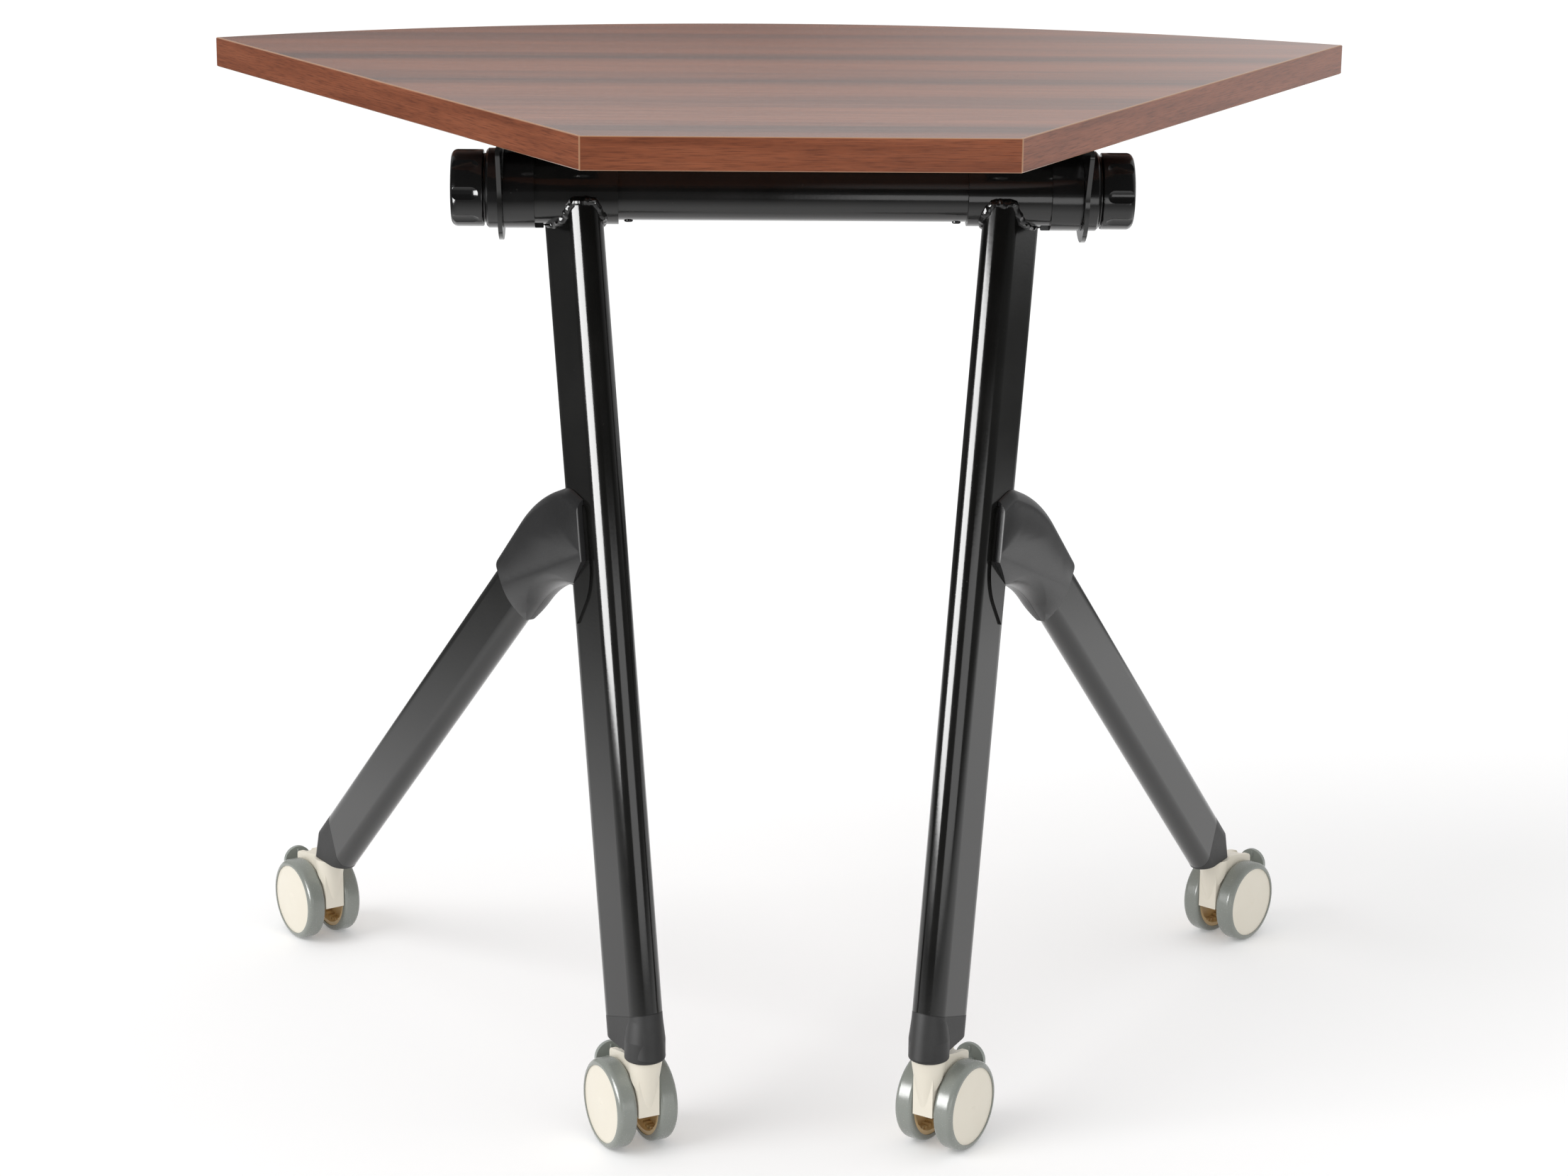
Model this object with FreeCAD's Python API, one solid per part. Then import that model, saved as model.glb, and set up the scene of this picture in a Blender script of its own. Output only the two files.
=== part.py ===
# Folding corner desk: a fan-shaped flip top on two leg frames with twin-wheel casters.
# Millimetres. +X to the sitter's right, +Y from the short front edge to the curved rear, +Z up.
# The origin is on the floor, below the middle of the top's outline.
import FreeCAD
import Part
import math
import os

Vector = FreeCAD.Vector

# Table top
desk_height = 735.0
top_thickness = 22.0
front_width = 280.0
side_length = 580.0
fan_half_angle = 30.0
band_thickness = 2.0
band_edge_bevel = 0.6

# Pivot beam under the top
beam_setback = 174.0
beam_drop = 39.0
beam_diameter = 42.7
beam_wall = 2.0
plug_length = 14.0

# Tilt hubs at the two ends of the beam
sleeve_diameter = 48.6
sleeve_inner_length = 32.0
sleeve_outer_length = 24.5
friction_diameter = 54.0
friction_length = 21.0
stop_lug_length = 5.5
stop_lug_width = 9.0
ear_thickness = 3.0
ear_radius = 35.0
flange_length = 110.0
flange_width = 66.0
ear_shoulder_depth = 9.0
ear_shoulder_round = 4.0
bend_radius = 6.0
collar_diameter = 54.0
collar_length = 8.5
collar_chamfer = 1.6
knob_diameter = 52.0
knob_length = 22.0
knob_outer_round = 4.5
knob_inner_round = 1.0
neck_diameter = 30.0
neck_length = 1.5
flute_count = 8
flute_radius = 9.0
flute_depth = 1.5
flute_length = 14.0
stud_diameter = 10.0
stud_grip = 14.0

# Leg frames
leg_spread = 150.5
leg_turn_angle = 31.8
leg_lean_angle = 8.1
main_leg_depth = 55.0
main_leg_thickness = 25.0
main_leg_top_drop = 5.0
rear_leg_depth = 45.0
rear_leg_thickness = 20.0
rear_leg_angle = 46.4
rear_leg_top_drop = 19.5
joint_drop = 198.0
leg_wall = 1.6

# Joint brackets and moulded joint covers
bracket_thickness = 1.5
bracket_front_inset = 5.0
bracket_rear_inset = 1.0
bracket_top_drop = 15.0
bracket_top_round = 6.0
bracket_curve_drop = 72.0
bracket_length = 100.0
bracket_round = 45.0
cover_half_width = 18.5
cover_end_half_width = 13.5
cover_wall = 2.5
cover_upper_round = 9.0
cover_lower_round = 12.5
cover_shoulder_depth = 48.0
cover_shoulder_angle = 14.5
cover_shoulder_radius = 45.0
cover_front_lap = 6.0
cover_front_drop = 11.0
cover_front_depth = 54.0
cover_apex_reach = 11.0
cover_apex_radius = 20.0
cover_top_drop = 3.4
cover_top_angle = 13.0
cover_crown_radius = 150.0
cover_reach = 142.0
cover_end_angle = 9.0
cover_upper_margin = 1.7
cover_lower_margin = 3.5
cover_arch_radius = 105.0
cover_arch_depth = 75.0
cover_heel_reach = 3.5
parting_gap = 0.1

# Foot caps
main_cap_rise = 29.0
main_seam_angle = 9.0
skirt_rise = 4.8
skirt_angle = 5.7
cap_boss_diameter = 29.0
cap_boss_height = 15.0
cap_boss_round = 1.5
cap_plug_length = 22.0
front_stem_forward = 10.6
rear_stem_outset = 2.0
rear_end_reach = 12.5
rear_end_angle = 16.0
rear_seam_reach = 38.0
rear_seam_angle = 26.0

# Casters: their headings are turned outwards from straight back
mount_height = 72.5
front_left_heading_angle = 26.0
front_right_heading_angle = 35.0
rear_left_heading_angle = 33.0
rear_right_heading_angle = 42.0
wheel_diameter = 65.0
wheel_width = 14.5
tyre_depth = 4.5
tyre_outer_round = 4.0
tyre_inner_round = 3.0
web_width = 16.0
trail = 24.0
stem_diameter = 10.0
stem_rise = 14.0
stem_seat = 22.0
axle_diameter = 8.0
boss_diameter = 25.0
boss_taper = 6.5
web_front_reach = 7.0
web_front_depth = 41.5
web_eye_radius = 10.0
web_round = 4.0
web_rear_reach = 18.0
hood_fall = 5.5
hood_bend_radius = 40.0
hub_disc = 3.6
hub_bore_cover = 2.4
hub_crown = 0.8
hub_rim = 3.0
hub_boss_radius = 8.0
hub_rim_inset = 0.8
tooth_count = 30
tooth_depth = 2.0
tooth_length = 6.0
pedal_width = 8.0
pedal_barrel_radius = 5.5
pedal_pin_diameter = 4.0
pedal_pin_back = 14.0
pedal_pin_drop = 22.0
tab_width = 23.0
tab_height = 16.0
tab_thickness = 3.0
tab_back = 33.0
tab_drop = 8.0
tab_root_round = 2.0

# Clearances
running_fit = 0.05
slip_fit = 0.1
seat_gap = 0.3
wheel_gap = 0.75
swivel_gap = 0.5

# Sizes that follow from the driving ones
fan_sine = math.sin(math.radians(fan_half_angle))
fan_cosine = math.cos(math.radians(fan_half_angle))
front_radius = front_width / 2 / fan_sine
rear_radius = front_radius + side_length
apex_to_front = front_radius * fan_cosine
top_depth = rear_radius - apex_to_front
apex_y = -top_depth / 2 - apex_to_front
underside = desk_height - top_thickness
beam_y = -top_depth / 2 + beam_setback
beam_z = underside - beam_drop
sleeve_start = leg_spread - sleeve_inner_length
sleeve_end = leg_spread + sleeve_outer_length
friction_end = sleeve_end + friction_length
ear_start = friction_end + seat_gap
ear_end = ear_start + ear_thickness
collar_end = ear_end + collar_length
knob_start = collar_end + seat_gap
knob_face = knob_start + neck_length
knob_end = knob_face + knob_length
lean_slope = math.tan(math.radians(leg_lean_angle))
main_joint_distance = joint_drop / math.cos(math.radians(leg_lean_angle))
joint_level = beam_z - main_joint_distance
joint_reach = -joint_drop * lean_slope
main_leg_flat = (main_leg_depth - main_leg_thickness) / 2
main_cap_distance = (beam_z - mount_height - main_cap_rise) / math.cos(math.radians(leg_lean_angle))
main_seam_level = beam_z - main_cap_distance
front_stem_reach = -(beam_z - mount_height) * lean_slope - front_stem_forward
rear_slope = math.tan(math.radians(rear_leg_angle))
rear_axis_foot = joint_reach + (beam_z - joint_drop - mount_height) * rear_slope
rear_stem_reach = rear_axis_foot + rear_stem_outset
axle_height = wheel_diameter / 2
housing_top = mount_height - swivel_gap
hub_radius = wheel_diameter / 2 - tyre_depth
wheel_offset = web_width / 2 + wheel_gap
pedal_pin_reach = trail + pedal_pin_back
pedal_pin_height = housing_top - pedal_pin_drop
tab_top = housing_top - tab_drop
tab_bottom = tab_top - tab_height
origin = Vector(0, 0, 0)
along_x = Vector(1, 0, 0)
along_y = Vector(0, 1, 0)
along_z = Vector(0, 0, 1)


def rounded_outline(corners, to_space):
    # A closed outline of straight runs whose corners, given as (a, b, radius), turn on arcs.
    edges = []
    last_end = None
    first_start = None
    for index, (a, b, radius) in enumerate(corners):
        here = Vector(a, b, 0)
        before = Vector(*corners[index - 1][:2], 0)
        after = Vector(*corners[(index + 1) % len(corners)][:2], 0)
        back = (before - here).normalize()
        ahead = (after - here).normalize()
        start = here
        end = here
        if radius > 0:
            half = back.getAngle(ahead) / 2
            start = here + back * (radius / math.tan(half))
            end = here + ahead * (radius / math.tan(half))
            middle = here + (back + ahead).normalize() * (radius / math.sin(half) - radius)
            arc = Part.Arc(to_space(start), to_space(middle), to_space(end))
        if last_end is not None:
            edges.append(Part.makeLine(to_space(last_end), to_space(start)))
        if radius > 0:
            edges.append(arc.toShape())
        if first_start is None:
            first_start = start
        last_end = end
    edges.append(Part.makeLine(to_space(last_end), to_space(first_start)))
    return Part.Wire(edges)


def in_xz(point):
    return Vector(point.x, 0, point.y)


def in_yz(point):
    return Vector(0, point.x, point.y)


def stadium(depth, thickness, height):
    # A flat-oval section: depth along X, thickness along Y, round at both ends.
    radius = thickness / 2
    straight = depth / 2 - radius
    rear_tip = Vector(depth / 2, 0, height)
    front_tip = Vector(-depth / 2, 0, height)
    corners = [
        Vector(-straight, -radius, height),
        Vector(straight, -radius, height),
        Vector(straight, radius, height),
        Vector(-straight, radius, height),
    ]
    return Part.Wire([
        Part.makeLine(corners[0], corners[1]),
        Part.Arc(corners[1], rear_tip, corners[2]).toShape(),
        Part.makeLine(corners[2], corners[3]),
        Part.Arc(corners[3], front_tip, corners[0]).toShape(),
    ])


def oval_bar(depth, thickness, bottom, top):
    return Part.Face(stadium(depth, thickness, bottom)).extrude(Vector(0, 0, top - bottom))


def round_bar(diameter, start, length, direction):
    return Part.makeCylinder(diameter / 2, length, start, direction)


def ring_on_beam(outer, inner, start, end):
    # A ring round the beam's axis, from one X to another.
    place = Vector(start, beam_y, beam_z)
    return round_bar(outer, place, end - start, along_x).cut(round_bar(inner, place, end - start, along_x))


def turned(shape, pivot, axis, degrees):
    copy = shape.copy()
    copy.rotate(pivot, axis, degrees)
    return copy


def leaned(shape):
    # From a main leg's own upright frame to its lean, about the beam's axis.
    return turned(shape, Vector(0, 0, beam_z), along_y, leg_lean_angle)


def into_desk(shape, side):
    # From the upright plane of a leg frame, X along its run from the beam, to the desk.
    copy = turned(shape, origin, along_z, 90.0 - side * leg_turn_angle)
    copy.translate(Vector(side * leg_spread, beam_y, 0))
    return copy


def on_side(shape, side):
    # Hub pieces are made for the right-hand end and mirrored for the left.
    if side > 0:
        return shape
    return shape.mirror(origin, along_x)


def save(name, *shapes):
    shape = shapes[0] if len(shapes) == 1 else Part.makeCompound(list(shapes))
    shape.exportStep("parts/" + name + ".step")


def fan_corners(inset):
    # Right-hand front and rear corners of the fan, its outline drawn in by the inset.
    front_y = apex_to_front + inset
    front = Vector((front_y * fan_sine - inset) / fan_cosine, apex_y + front_y, underside)
    run = math.sqrt((rear_radius - inset) ** 2 - inset ** 2)
    rear_x = run * fan_sine - inset * fan_cosine
    rear_y = run * fan_cosine + inset * fan_sine
    return front, Vector(rear_x, apex_y + rear_y, underside)


def to_left(point):
    return Vector(-point.x, point.y, point.z)


def rear_arc(inset, start, end):
    middle = Vector(0, apex_y + rear_radius - inset, underside)
    return Part.Arc(start, middle, end).toShape()


def banding(edges, outer_ends):
    # One strip of edge banding, with its outer top and bottom edges bevelled.
    strip = Part.Face(Part.Wire(edges)).extrude(Vector(0, 0, top_thickness))
    rims = []
    for edge in strip.Edges:
        ends = [vertex.Point for vertex in edge.Vertexes]
        level = abs(ends[0].z - ends[1].z) < running_fit
        flat_ends = [Vector(point.x, point.y, underside) for point in ends]
        outer = all(min(point.distanceToPoint(end) for end in outer_ends) < running_fit for point in flat_ends)
        if level and outer:
            rims.append(edge)
    return strip.makeChamfer(band_edge_bevel, rims)


def table_top():
    front, rear = fan_corners(0.0)
    inner_front, inner_rear = fan_corners(band_thickness)
    panel_edges = [
        Part.makeLine(to_left(inner_front), inner_front),
        Part.makeLine(inner_front, inner_rear),
        rear_arc(band_thickness, inner_rear, to_left(inner_rear)),
        Part.makeLine(to_left(inner_rear), to_left(inner_front)),
    ]
    save("top_panel", Part.Face(Part.Wire(panel_edges)).extrude(Vector(0, 0, top_thickness)))
    front_edges = [
        Part.makeLine(to_left(front), front),
        Part.makeLine(front, inner_front),
        Part.makeLine(inner_front, to_left(inner_front)),
        Part.makeLine(to_left(inner_front), to_left(front)),
    ]
    save("edge_band_front", banding(front_edges, [front, to_left(front)]))
    side_edges = [
        Part.makeLine(front, rear),
        Part.makeLine(rear, inner_rear),
        Part.makeLine(inner_rear, inner_front),
        Part.makeLine(inner_front, front),
    ]
    right_band = banding(side_edges, [front, rear])
    save("edge_bands_sides", right_band, on_side(right_band, -1))
    rear_edges = [
        rear_arc(0.0, rear, to_left(rear)),
        Part.makeLine(to_left(rear), to_left(inner_rear)),
        rear_arc(band_thickness, to_left(inner_rear), inner_rear),
        Part.makeLine(inner_rear, rear),
    ]
    save("edge_band_rear", banding(rear_edges, [rear, to_left(rear)]))


def top_bracket():
    # A bent steel bracket: a flange screwed under the top, and an ear down round the pivot.
    ear_bottom = beam_z - ear_radius
    flange_end = ear_end - flange_width
    bend = rounded_outline([
        (flange_end, underside, 0),
        (ear_end, underside, bend_radius),
        (ear_end, ear_bottom, 0),
        (ear_start, ear_bottom, 0),
        (ear_start, underside - ear_thickness, bend_radius - ear_thickness),
        (flange_end, underside - ear_thickness, 0),
    ], in_xz)
    bent_sheet = Part.Face(bend).extrude(Vector(0, flange_length, 0))
    bent_sheet.translate(Vector(0, beam_y - flange_length / 2, 0))
    half = flange_length / 2
    shoulder = underside - ear_shoulder_depth
    end_round = ear_radius - running_fit
    ear = rounded_outline([
        (-half, underside, 0),
        (half, underside, 0),
        (half, shoulder, ear_shoulder_round),
        (ear_radius, beam_z, ear_radius / 2),
        (ear_radius, ear_bottom, end_round),
        (-ear_radius, ear_bottom, end_round),
        (-ear_radius, beam_z, ear_radius / 2),
        (-half, shoulder, ear_shoulder_round),
    ], in_yz)
    outline = Part.Face(ear).extrude(Vector(flange_width, 0, 0))
    outline.translate(Vector(flange_end, beam_y, 0))
    hole = round_bar(stud_diameter + 2 * running_fit, Vector(ear_start, beam_y, beam_z), ear_thickness, along_x)
    return bent_sheet.common(outline).cut(hole)


def thrust_collar():
    collar = round_bar(collar_diameter, Vector(ear_end, beam_y, beam_z), collar_length, along_x)
    rims = [edge for edge in collar.Edges if abs(edge.CenterOfMass.x - collar_end) < running_fit]
    collar = collar.makeChamfer(collar_chamfer, rims)
    hole = round_bar(stud_diameter + 2 * running_fit, Vector(ear_end, beam_y, beam_z), collar_length, along_x)
    return collar.cut(hole)


def friction_sleeve():
    # A sleeve on the beam's end, with a stop lug that lies under the leg's sleeve.
    bore = beam_diameter + 2 * slip_fit
    sleeve = ring_on_beam(friction_diameter, bore, sleeve_end, friction_end)
    lug_ring = ring_on_beam(friction_diameter, sleeve_diameter, sleeve_end - stop_lug_length, sleeve_end)
    lug_corner = Vector(sleeve_end - stop_lug_length, beam_y - stop_lug_width / 2, beam_z - friction_diameter)
    lug = lug_ring.common(Part.makeBox(stop_lug_length, stop_lug_width, friction_diameter, lug_corner))
    return sleeve.fuse(lug)


def tilt_knob():
    # A fluted clamping knob, turned round the beam's axis and gripped by its stud.
    radius = knob_diameter / 2
    profile = rounded_outline([
        (knob_start, 0, 0),
        (knob_start, neck_diameter / 2, 0),
        (knob_face, neck_diameter / 2, 0),
        (knob_face, radius, knob_inner_round),
        (knob_end, radius, knob_outer_round),
        (knob_end, 0, 0),
    ], in_xz)
    knob = Part.Face(profile).revolve(origin, along_x, 360)
    flute_centre = radius + flute_radius - flute_depth
    flute_start = Vector(knob_end - flute_length, 0, flute_centre)
    flute = round_bar(2 * flute_radius, flute_start, knob_length, along_x)
    flute = flute.fuse(Part.makeSphere(flute_radius, flute_start))
    for step in range(flute_count):
        knob = knob.cut(turned(flute, origin, along_x, step * 360.0 / flute_count))
    knob = knob.cut(round_bar(stud_diameter, Vector(knob_start, 0, 0), neck_length + stud_grip, along_x))
    knob.translate(Vector(0, beam_y, beam_z))
    return knob


def tilt_hubs():
    plug_diameter = beam_diameter - 2 * beam_wall - 2 * running_fit
    beam = ring_on_beam(beam_diameter, beam_diameter - 2 * beam_wall, -friction_end, friction_end)
    save("beam_tube", beam)
    plug_start = friction_end - plug_length
    plug = ring_on_beam(plug_diameter, stud_diameter + 2 * running_fit, plug_start, friction_end)
    save("beam_end_plugs", plug, on_side(plug, -1))
    sleeve = ring_on_beam(sleeve_diameter, beam_diameter + 2 * slip_fit, sleeve_start, sleeve_end)
    stud_end = knob_face + stud_grip
    stud = round_bar(stud_diameter, Vector(plug_start, beam_y, beam_z), stud_end - plug_start, along_x)
    pieces = {
        "leg_sleeve": sleeve,
        "friction_sleeve": friction_sleeve(),
        "top_bracket": top_bracket(),
        "thrust_collar": thrust_collar(),
        "tilt_knob": tilt_knob(),
        "knob_stud": stud,
    }
    for name, shape in pieces.items():
        save(name + "_right", shape)
        save(name + "_left", on_side(shape, -1))


def main_leg_bar(growth):
    # The main leg's flat-oval bar in its upright frame, grown all round, from foot to beam.
    foot = main_seam_level - 2 * main_cap_rise
    depth = main_leg_depth + 2 * growth
    return oval_bar(depth, main_leg_thickness + 2 * growth, foot, beam_z + main_leg_depth)


def under_main_seam():
    # Space on the foot's side of a main leg's slanting seam, in the leg's upright frame.
    size = 4 * main_leg_depth
    seam = Vector(0, 0, main_seam_level)
    space = Part.makeBox(size, size, size, Vector(-size / 2, -size / 2, main_seam_level - size))
    return turned(space, seam, along_y, main_seam_angle)


def rear_leg_bar(growth, start):
    # The rear leg's bar in the main leg's upright frame, from the joint past its foot.
    length = (beam_z - mount_height) / math.cos(math.radians(rear_leg_angle))
    depth = rear_leg_depth + 2 * growth
    bar = oval_bar(depth, rear_leg_thickness + 2 * growth, joint_level - length, joint_level - start)
    bar = turned(bar, Vector(0, 0, joint_level), along_y, -(rear_leg_angle + leg_lean_angle))
    size = 4 * rear_leg_depth
    top = joint_level - rear_leg_top_drop + growth
    return bar.cut(Part.makeBox(size, size, size, Vector(-size / 2, -size / 2, top)))


def main_leg(side):
    tube = main_leg_bar(0.0).cut(main_leg_bar(-leg_wall)).cut(under_main_seam())
    size = 2 * main_leg_depth
    above = Part.makeBox(size, size, size, Vector(-size / 2, -size / 2, beam_z - main_leg_top_drop))
    tube = into_desk(leaned(tube).cut(above), side)
    sleeve_place = Vector(side * leg_spread - main_leg_depth, beam_y, beam_z)
    return tube.cut(round_bar(sleeve_diameter, sleeve_place, 2 * main_leg_depth, along_x))


def rear_foot_space():
    # Space over the casters' mounting level, up to a rounded end that leans in towards its top.
    radius = rear_leg_thickness / 2 + slip_fit
    middle = Vector(rear_stem_reach + rear_end_reach - radius, 0, mount_height)
    size = 4 * rear_leg_depth
    space = Part.makeBox(size, size, 2 * size, middle - Vector(size, size / 2, size))
    space = space.fuse(Part.makeCylinder(radius, 2 * size, middle - Vector(0, 0, size)))
    space = turned(space, middle, along_y, -rear_end_angle)
    return space.common(Part.makeBox(2 * size, size, size, middle - Vector(size, size / 2, 0)))


def behind_seam(shift):
    # Space on the foot's side of a rear leg's slanting seam, moved up along the leg.
    angle = math.radians(rear_leg_angle)
    seam = Vector(rear_stem_reach - rear_seam_reach, 0, mount_height)
    seam = seam + Vector(-math.sin(angle), 0, math.cos(angle)) * shift
    space = Part.makeBox(desk_height, desk_height, 2 * desk_height,
                         Vector(seam.x, -desk_height / 2, seam.z - desk_height))
    return turned(space, seam, along_y, rear_seam_angle)


def stem_hole(reach):
    return round_bar(stem_diameter + 2 * running_fit, Vector(reach, 0, mount_height), stem_rise + seat_gap, along_z)


def rear_leg():
    start = main_leg_thickness / 2
    tube = rear_leg_bar(0.0, start).cut(rear_leg_bar(-leg_wall, start))
    tube = leaned(tube.cut(main_leg_bar(0.0)))
    return tube.cut(behind_seam(0.0))


def rear_foot_cap():
    # A wedge that closes the rear leg's slanting end, with a plug up inside the tube.
    start = main_leg_depth
    foot = rear_foot_space()
    wedge = leaned(rear_leg_bar(0.0, start)).common(foot).common(behind_seam(0.0))
    plug = leaned(rear_leg_bar(-leg_wall - slip_fit, start)).common(foot).common(behind_seam(cap_plug_length))
    return wedge.fuse(plug).removeSplitter().cut(stem_hole(rear_stem_reach))


def main_foot_cap():
    # A skirt like the tube, and a column under its round front that widens to a boss over the stem.
    size = 4 * main_leg_depth
    skirt = main_leg_bar(0.0).common(under_main_seam())
    inside = 2 * leg_wall + 2 * slip_fit
    plug_start = main_seam_level - main_cap_rise / 2
    plug_end = main_seam_level + cap_plug_length
    plug = oval_bar(main_leg_depth - inside, main_leg_thickness - inside, plug_start, plug_end)
    skirt_foot = Vector(front_stem_reach, 0, mount_height + skirt_rise)
    below = Part.makeBox(size, size, size, skirt_foot - Vector(size / 2, size / 2, size))
    skirt = leaned(skirt.fuse(plug)).cut(turned(below, skirt_foot, along_y, -skirt_angle))
    nose = Vector(-main_leg_flat, 0, main_seam_level)
    column_top = leaned(Part.Wire(Part.makeCircle(main_leg_thickness / 2 - slip_fit, nose)))
    boss_top = Vector(front_stem_reach, 0, mount_height + cap_boss_height)
    column_end = Part.Wire(Part.makeCircle(cap_boss_diameter / 2, boss_top))
    column = Part.makeLoft([column_top, column_end], True, True)
    boss = round_bar(cap_boss_diameter, Vector(front_stem_reach, 0, mount_height), cap_boss_height, along_z)
    rims = [edge for edge in boss.Edges if edge.BoundBox.ZMax < mount_height + running_fit]
    boss = boss.makeFillet(cap_boss_round, rims)
    cap = skirt.fuse([column, boss]).removeSplitter()
    return cap.cut(stem_hole(front_stem_reach))


def joint_plate(cheek, thickness):
    # A bracket plate on one flat side of the main leg, its front edge curving in to a lower tip.
    front = -main_leg_flat + bracket_front_inset
    rear = main_leg_flat - bracket_rear_inset
    outline = rounded_outline([
        (front, joint_level - bracket_curve_drop, bracket_round),
        (front, joint_level - bracket_top_drop, bracket_top_round),
        (rear, joint_level - bracket_top_drop, bracket_top_round),
        (rear, joint_level - bracket_length, 0),
    ], in_xz)
    plate = Part.Face(outline).extrude(Vector(0, cheek * thickness, 0))
    plate.translate(Vector(0, cheek * main_leg_thickness / 2, 0))
    return plate


def cover_outline():
    # The cover's outline in the main leg's frame: a lap on the leg, a crown, an end, an arch and a heel.
    angle = math.radians(rear_leg_angle + leg_lean_angle)
    run = Vector(math.sin(angle), -math.cos(angle), 0)
    across = Vector(math.cos(angle), math.sin(angle), 0)
    upper = rear_leg_depth / 2 + cover_upper_margin
    lower = rear_leg_depth / 2 + cover_lower_margin
    upper_end = run * cover_reach + across * upper
    end_slant = (upper + lower) * math.tan(math.radians(cover_end_angle))
    lower_end = run * (cover_reach + end_slant) - across * lower
    top_angle = math.radians(cover_top_angle)
    fall = Vector(math.cos(top_angle), -math.sin(top_angle), 0)
    apex = Vector(cover_apex_reach, -cover_top_drop, 0)
    crown = apex + fall * ((upper - across.dot(apex)) / across.dot(fall))
    arch = across * -lower
    arch = arch + run * ((arch.y + cover_arch_depth) / -run.y)
    corners = [
        (-cover_front_lap, -cover_front_depth, 0),
        (-cover_front_lap, -cover_front_drop, 0),
        (apex.x, apex.y, cover_apex_radius),
        (crown.x, crown.y, cover_crown_radius),
        (upper_end.x, upper_end.y, 0),
        (lower_end.x, lower_end.y, 0),
        (arch.x, arch.y, cover_arch_radius),
        (main_leg_flat + cover_heel_reach, -cover_arch_depth, 0),
    ]
    lifted = [(a, b + joint_level, radius) for a, b, radius in corners]
    return rounded_outline(lifted, in_xz)


def below_shoulder(cheek, inset):
    # Space under the cover's slanting shoulder, outside the broad rounding that falls away from it.
    size = 4 * cover_reach
    radius = cover_shoulder_radius - inset
    middle = Vector(-cover_front_lap, cheek * (cover_half_width - cover_shoulder_radius), joint_level)
    middle = middle - along_z * cover_shoulder_depth
    space = Part.makeBox(2 * size, 2 * size, size, middle - Vector(size, size, size))
    space = space.cut(round_bar(2 * radius, middle - along_x * size, 2 * size, along_x))
    space = space.cut(Part.makeBox(2 * size, size, size, middle - Vector(size, (1 + cheek) * size / 2, size)))
    return turned(space, middle, along_y, cover_shoulder_angle)


def rounded_slab(outline, cheek, inset):
    # An outline raised sideways from the leg's middle plane, thinner to its far end.
    # Its upper and lower rims are rounded up to the crisp corners in front and at the far end.
    size = 4 * cover_reach
    front = Vector(-cover_front_lap, cheek * (cover_half_width - inset), joint_level)
    taper = -cheek * math.degrees(math.atan((cover_half_width - cover_end_half_width) / cover_reach))
    slab = Part.Face(outline).extrude(Vector(0, front.y, 0))
    outside = Part.makeBox(size, size, size, front - Vector(size / 2, (1 - cheek) * size / 2, size / 2))
    slab = slab.cut(turned(outside, front, along_z, taper))
    for pick, radius in ((min, cover_lower_round), (max, cover_upper_round)):
        side = max(slab.Faces, key=lambda face: cheek * face.CenterOfMass.y)
        rim = pick(side.Edges, key=lambda edge: edge.CenterOfMass.z)
        slab = slab.makeFillet(radius - inset, [rim])
    return slab.cut(turned(below_shoulder(cheek, inset), front, along_z, taper))


def joint_cover(cheek):
    # Half of the moulded clamshell over the joint of the two legs: a shell with an open middle plane.
    outline = cover_outline()
    shell = rounded_slab(outline, cheek, 0.0)
    hollow = rounded_slab(outline.makeOffset2D(-cover_wall), cheek, cover_wall)
    size = 4 * cover_reach
    over = Part.makeBox(size, size, size, Vector(-size / 2, -size / 2, joint_level - size / 2))
    over.translate(Vector(0, cheek * (parting_gap - size / 2), 0))
    shell = shell.cut(hollow).cut(over)
    shell = shell.cut(main_leg_bar(seat_gap)).cut(rear_leg_bar(seat_gap, main_leg_thickness / 2))
    return shell.cut(joint_plate(cheek, bracket_thickness + slip_fit))


def leg_frame(side, name):
    outer = -side
    save("main_leg_" + name, main_leg(side))
    save("rear_leg_" + name, into_desk(rear_leg(), side))
    save("main_foot_cap_" + name, into_desk(main_foot_cap(), side))
    save("rear_foot_cap_" + name, into_desk(rear_foot_cap(), side))
    plates = [into_desk(leaned(joint_plate(cheek, bracket_thickness)), side) for cheek in (outer, -outer)]
    save("joint_brackets_" + name, *plates)
    save("joint_cover_outer_" + name, into_desk(leaned(joint_cover(outer)), side))
    save("joint_cover_inner_" + name, into_desk(leaned(joint_cover(-outer)), side))


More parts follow.
